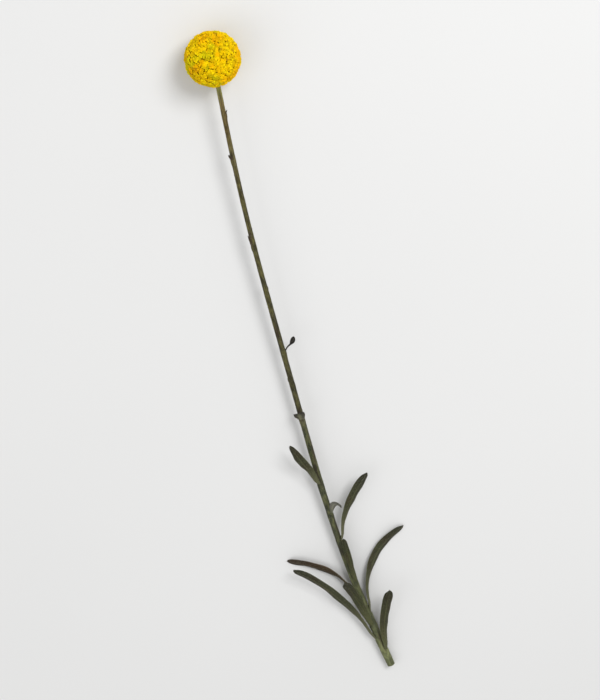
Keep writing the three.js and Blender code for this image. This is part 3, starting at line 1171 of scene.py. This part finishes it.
@dataclass(frozen=True)
class BladeForm:
    """How finely a blade is meshed, and its relief."""

    steps: int
    across: int
    thickness: float
    rib_height: float
    groove_depth: float
    wave: float
    crowding: float = 0.8
    hollow: float = 7.0
    clasp_end: float = 0.45
    twist_end: float = 0.6
    bite_end: float = 0.12
    edge_share: float = 0.3
    tip_share: float = 0.72
    rib_width: float = 0.13
    wave_paces: Pair = (1.6, 4.3)
    ripple: float = 0.45

    def rings(self, line: StemLine, plan: BladePlan, start: float, bite: float) -> Body:
        """Builds a blade as rings of vertices round its sections.

        Args:
            line: the stalk that it grows on.
            plan: the blade's own sizes.
            start: from the stalk's middle to the blade's, at its foot.
            bite: how much further in its very foot lies, to run into the stalk.

        Returns:
            The closed blade, with its skin and grain fields.
        """
        even = np.linspace(0, 1, self.steps + 1)
        share = lerp(even, np.sin(even * np.pi / 2), self.crowding)
        pace = np.diff(share) * plan.length
        mid_angle = plan.angle((share[1:] + share[:-1]) / 2)
        climbed = np.concatenate(([0.0], np.cumsum(np.cos(mid_angle) * pace)))
        out = start + np.concatenate(([0.0], np.cumsum(np.sin(mid_angle) * pace)))
        out -= bite * (1 - smooth(share / self.bite_end))

        section = line.section(plan.down - climbed)
        around = math.radians(plan.around)
        away, aside = section.outward(around), section.outward(around + np.pi / 2)
        lean = plan.angle(share)[:, None]
        back = away * np.cos(lean) - section.along * np.sin(lean)
        middle = section.point + away * out[:, None]
        middle[:, 2] -= plan.sink * share**2
        roll = (math.radians(plan.twist) * smooth(share / self.twist_end))[:, None]
        side = aside * np.cos(roll) + back * np.sin(roll)
        back = back * np.cos(roll) - aside * np.sin(roll)
        hollow = lerp(start, self.hollow, smooth(share / self.clasp_end))[:, None]

        outer = np.linspace(-1, 1, self.across + 1)
        u = np.concatenate((outer, outer[-2:0:-1]))[None]
        face = np.repeat((1, -1), (self.across + 1, self.across - 1))[None] * (np.abs(u) != 1)
        along = share[:, None]
        depth = hollow + self._relief(plan, u, face, along)
        turn = u * plan.half_width(along) / hollow
        normal = back[:, None] * np.cos(turn)[..., None] + side[:, None] * np.sin(turn)[..., None]
        places = (middle - back * hollow)[:, None] + normal * depth[..., None]
        places[..., 2] -= np.minimum(0, places[..., 2].min(axis=1))[:, None]

        # Both ends are closed by quads from the outer to the inner face.
        count, half = u.size, u.size // 2
        cap = [(j, j + 1, count - j - 1, count - j) for j in range(1, half - 1)]
        cap += [(0, 1, count - 1), (half - 1, half, half + 1)]
        faces = ring_quads(self.steps + 1, count) + [face[::-1] for face in cap]
        faces += [tuple(self.steps * count + corner for corner in face) for face in cap]
        fields = {"skin": stack(u, along, face), "grain": unit(np.gradient(places, axis=0))}
        fields = {key: values.reshape(-1, 3) for key, values in fields.items()}
        return Body(places.reshape(-1, 3), faces, fields)

    def _relief(self, plan: BladePlan, u: Array, face: Array, along: Array) -> Array:
        """How far a point stands off the blade's middle sheet, in millimetres.

        Args:
            plan: the blade's own sizes, which also seed its waves.
            u: the place across the blade, from -1 to 1.
            face: 1 on the back, -1 on the face towards the stalk and 0 on the edge.
            along: the share of the length.

        Returns:
            The offset for every vertex.
        """
        body = self.thickness / 2 * lerp(1.0, self.edge_share, np.abs(u) ** 2.2)
        body = body * lerp(1.0, self.tip_share, smooth((along - 0.3) / 0.7))
        ridge = np.exp(-((u / self.rib_width) ** 2)) * (1 - smooth((along - 0.72) / 0.28))
        rib = np.where(face > 0, self.rib_height, -self.groove_depth * face) * ridge
        phases = np.random.default_rng(SEED + int(10 * plan.down)).uniform(0, 2 * np.pi, 4)
        slow, fast = (2 * np.pi * pace * along for pace in self.wave_paces)
        swing = np.sin(slow + phases[0] + u * phases[1] / 3)
        ripple = np.sin(fast + phases[2] + np.sign(u) * phases[3])
        wave = self.wave * u**2 * (swing + self.ripple * ripple) * smooth(along / 0.35)
        return face * body + rib + wave * plan.width / 5


LEAF_FORM = BladeForm(72, 18, 0.62, 0.16, 0.18, 0.28)
SCALE_FORM = BladeForm(30, 12, 0.55, 0.1, 0.1, 0.1)


@dataclass
class Leaf:
    """One full leaf, whose foot clasps the stalk and runs into it.

    gap and solid_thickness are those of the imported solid, whose middle sheet this one follows.
    """

    line: StemLine
    wool: Wool
    number: int
    plan: BladePlan
    gap: float = 0.3
    solid_thickness: float = 0.65
    foot_bite: float = 1.15
    hairs: float = 4.2

    def build(self, material: Material) -> None:
        """Makes the leaf and its wool.

        Args:
            material: the blade's material.
        """
        start = self.line.radius(self.plan.down) * (1 + self.line.rib) + self.gap + self.solid_thickness / 2
        body = LEAF_FORM.rings(self.line, self.plan, start, self.foot_bite)
        mesh = body.mesh(f"leaf_blade_{self.number}", [material])
        self.wool.dress(mesh, "leaf", f"leaf_{self.number}", self.hairs, self.number)


@dataclass
class Stalk:
    """The ribbed stalk from its socket in the head to the cut, with its scale leaves.

    cut holds the rings of the cut end, each as a share of the radius and how far it stands out:
    a worn edge, then rings in to the sunken pith. Scars are the ridges below the leaves' feet.
    """

    line: StemLine
    wool: Wool
    top: float = -2.9
    steps: int = 640
    sides: int = 32
    fine_ribs: int = 13
    fine_rib: float = 0.018
    drift: float = 1.5
    drift_run: float = 40.0
    unevenness: float = 0.025
    uneven_paces: Floats = (0.071, 0.17, 0.39, 0.83)
    cut: Rings = ((0.97, 0.05), (0.86, 0.02), (0.7, -0.1), (0.45, -0.16), (0.2, -0.14))
    scar_height: float = 0.34
    scar_run: float = 0.55
    scar_runs: Pair = (3.5, 24.0)
    scar_end: float = 0.45
    node_swell: float = 0.05
    node_reach: float = 2.2
    scale_root: float = 0.8
    scale_bite: float = 0.85
    hairs: float = 3.6

    def _radius(self, down: Array, angle: Array) -> Array:
        """The stalk's radius, with its ribs and with a swelling and a scar at each leaf's foot.

        Args:
            down: distances below the head.
            angle: angles round the stalk.

        Returns:
            The radius at each.
        """
        plain = self.line.radius(down)
        phases = np.random.default_rng(SEED).uniform(0, 2 * np.pi, 6)
        drift = self.drift * np.sin(down / self.drift_run + phases[0])
        ribs = self.line.rib * np.cos(self.line.ribs * angle)
        ribs = ribs + self.fine_rib * np.cos(self.fine_ribs * angle + drift)
        uneven = sum(np.sin(down * pace + phase) for pace, phase in zip(self.uneven_paces, phases[1:]))
        radius = plain * (1 + ribs + self.unevenness * uneven / len(self.uneven_paces))
        for blade in (*LEAVES, *SCALES):
            below = down - blade.down
            ease = smooth(below / np.clip(self.scar_run * blade.length, *self.scar_runs))
            fade = np.where(below < 0, smooth(1 + below / 2), 1 - ease)
            turn = np.remainder(angle - math.radians(blade.around) + np.pi, 2 * np.pi) - np.pi
            half = 0.5 * blade.width * blade.foot / plain * lerp(1.0, self.scar_end, ease)
            scar = self.scar_height * fade * np.exp(-((turn / half) ** 2))
            radius = radius + (scar + self.node_swell * plain * np.exp(-((below / self.node_reach) ** 2)))
        return radius

    def _rod(self) -> Body:
        """The bare stalk as a closed body, with the cut face in its own slot.

        Returns:
            The body, with its skin and grain fields.
        """
        sides, length = self.sides, self.line.length
        angle = turns(sides)
        down = np.linspace(self.top, length, self.steps + 1)
        share, past = np.array(self.cut).T
        downs = np.concatenate((down, length + past))
        shares = np.concatenate((np.ones(len(down)), share))[:, None]
        section = self.line.section(downs)
        radius = self._radius(np.minimum(downs, length)[:, None], angle[None]) * shares
        round_axis = Section(*(part[:, None] for part in vars(section).values()))
        places = round_axis.point + round_axis.outward(angle[:, None]) * radius[..., None]

        rings = len(downs)
        top, foot, last = rings * sides, rings * sides + 1, (rings - 1) * sides
        faces = ring_quads(rings, sides)
        for i in range(sides):
            after = (i + 1) % sides
            faces += [(after, i, top), (last + i, last + after, foot)]
        slots = np.repeat(np.arange(rings - 1) > len(down), sides)
        slots = np.concatenate((slots, np.tile((0, 1), sides)))
        vertices = np.concatenate((places.reshape(-1, 3), section.point[[0, -1]]))
        skin = stack(np.cos(angle) * shares, np.sin(angle) * shares, downs[:, None]).reshape(-1, 3)
        skin = np.concatenate((skin, ((0, 0, self.top), (0, 0, length))))
        grain = np.concatenate((np.repeat(section.along, sides, axis=0), section.along[[0, -1]]))
        return Body(vertices, faces, {"skin": skin, "grain": grain}, slots)

    def build(self, materials: dict[Tone, Material]) -> None:
        """Makes the stalk with its scale leaves, and its wool.

        Args:
            materials: the leaves' materials.
        """
        finish, tones = StalkFinish(self.line.length), list(Tone)
        scales = []
        for plan in SCALES:
            start = self.line.radius(plan.down) * self.scale_root
            scale = SCALE_FORM.rings(self.line, plan, start, self.scale_bite)
            scale.slots[:] = 2 + tones.index(plan.tone)
            scales.append(scale)
        slots = [finish.skin(), finish.cut(), *(materials[tone] for tone in tones)]
        mesh = self._rod().joined(scales).mesh("stalk_skin_and_scales", slots)
        self.wool.dress(mesh, "stalk", "stalk", self.hairs)


# ---- Studio ----


@dataclass(frozen=True)
class Studio:
    """A pale floor, soft light, and a camera that looks down on the stem.

    lean is how far the stem tips to the left in the picture, and tilt how far the camera stands
    off the upright, towards the head, both in degrees. lights hold a name, a place and a size in
    metres, and a power in watts.
    """

    lens: float = 100.0
    sensor: float = 36.0
    clip: Pair = (0.01, 50.0)
    lean: float = 15.8
    tilt: float = 17.0
    margin: float = 1.06
    tries: int = 8
    picture: tuple[int, int] = (600, 700)
    floor_size: float = 8.0
    floor_drop: float = 0.00005
    floor_tones: tuple[Floats, ...] = ((0.7, 0.7, 0.695), (0.73, 0.73, 0.725))
    lights: tuple[tuple[str, Floats, float, float], ...] = (
        ("key", (0.7, 0.57, 1.04), 0.55, 11.2),
        ("fill", (-0.9, -0.1, 0.8), 0.9, 2.6),
    )
    sky: float = 0.64

    def camera(self) -> None:
        """Stands the camera where the whole stem just fits the picture."""
        lean, tilt = math.radians(self.lean), math.radians(self.tilt)
        ahead = np.array((math.sin(lean), math.cos(lean), 0.0))
        back = ahead * math.sin(tilt) + UP * math.cos(tilt)
        up = ahead * math.cos(tilt) - UP * math.sin(tilt)
        right = np.cross(up, back)
        half_high = self.sensor / 2 / self.lens
        half_wide = half_high * self.picture[0] / self.picture[1]
        spans = [zip(*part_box(name)) for name in frame["nodes"]]
        corners = np.array([(x, y, z) for xs, ys, zs in spans for x in xs for y in ys for z in zs])
        target = corners.mean(axis=0)
        distance = 1.0
        for _ in range(self.tries):
            offsets = corners - target
            depth = distance - offsets @ back
            wide, high = offsets @ right / depth, offsets @ up / depth
            target = target + right * (wide.max() + wide.min()) / 2 * distance
            target = target + up * (high.max() + high.min()) / 2 * distance
            distance *= max(np.ptp(wide) / 2 / half_wide, np.ptp(high) / 2 / half_high) * self.margin
        data = bpy.data.cameras.new("camera")
        data.lens, data.sensor_width = self.lens, self.sensor
        data.clip_start, data.clip_end = self.clip
        camera = add_object("camera", data)
        turn = Matrix((right, up, back)).transposed().to_4x4()
        camera.matrix_world = Matrix.Translation(target + back * distance) @ turn
        bpy.context.scene.camera = camera

    def floor(self) -> None:
        """Lays the pale floor a hair below the stem."""
        half = self.floor_size / 2
        mesh = bpy.data.meshes.new("floor")
        corners = [(-half, -half), (half, -half), (half, half), (-half, half)]
        mesh.from_pydata([(x, y, -self.floor_drop) for x, y in corners], [], [(0, 1, 2, 3)])
        shader = Shader("floor")
        low, high = self.floor_tones
        colour = shader.coated(low, (high, shader.noise(shader.place(), 0.004)))
        mesh.materials.append(shader.finish(colour, 0.95, Specular_IOR_Level=0.1))
        add_object("floor", mesh)

    def build(self) -> None:
        """Makes the whole studio."""
        self.camera()
        self.floor()
        for name, place, size, power in self.lights:
            data = bpy.data.lights.new(name, "AREA")
            data.size, data.energy = size, power
            lamp = add_object(name, data)
            lamp.location, lamp.rotation_mode = place, "QUATERNION"
            lamp.rotation_quaternion = (-Vector(place)).to_track_quat("-Z", "Y")
        world = bpy.data.worlds.new("studio")
        world.use_nodes = True
        inputs = world.node_tree.nodes["Background"].inputs
        inputs["Color"].default_value = (1.0, 1.0, 1.0, 1.0)
        inputs["Strength"].default_value = self.sky
        bpy.context.scene.world = world
        bpy.context.scene.view_settings.view_transform = "Standard"


def main() -> None:
    """Builds the stem from the head down, then the studio round it."""
    logging.basicConfig(level=logging.INFO, format="%(name)s: %(message)s")
    line = StemLine()
    space = PlantSpace(line)
    materials = {tone: finish.material(f"leaf_{tone.value}") for tone, finish in LEAF_FINISHES.items()}
    wool = Wool(space)
    FlowerHead(line, space).build()
    Stalk(line, wool).build(materials)
    for number, plan in enumerate(LEAVES, 1):
        Leaf(line, wool, number, plan).build(materials[plan.tone])
    bpy.data.objects.remove(wool.strand)
    Studio().build()


if __name__ == "__main__":
    main()
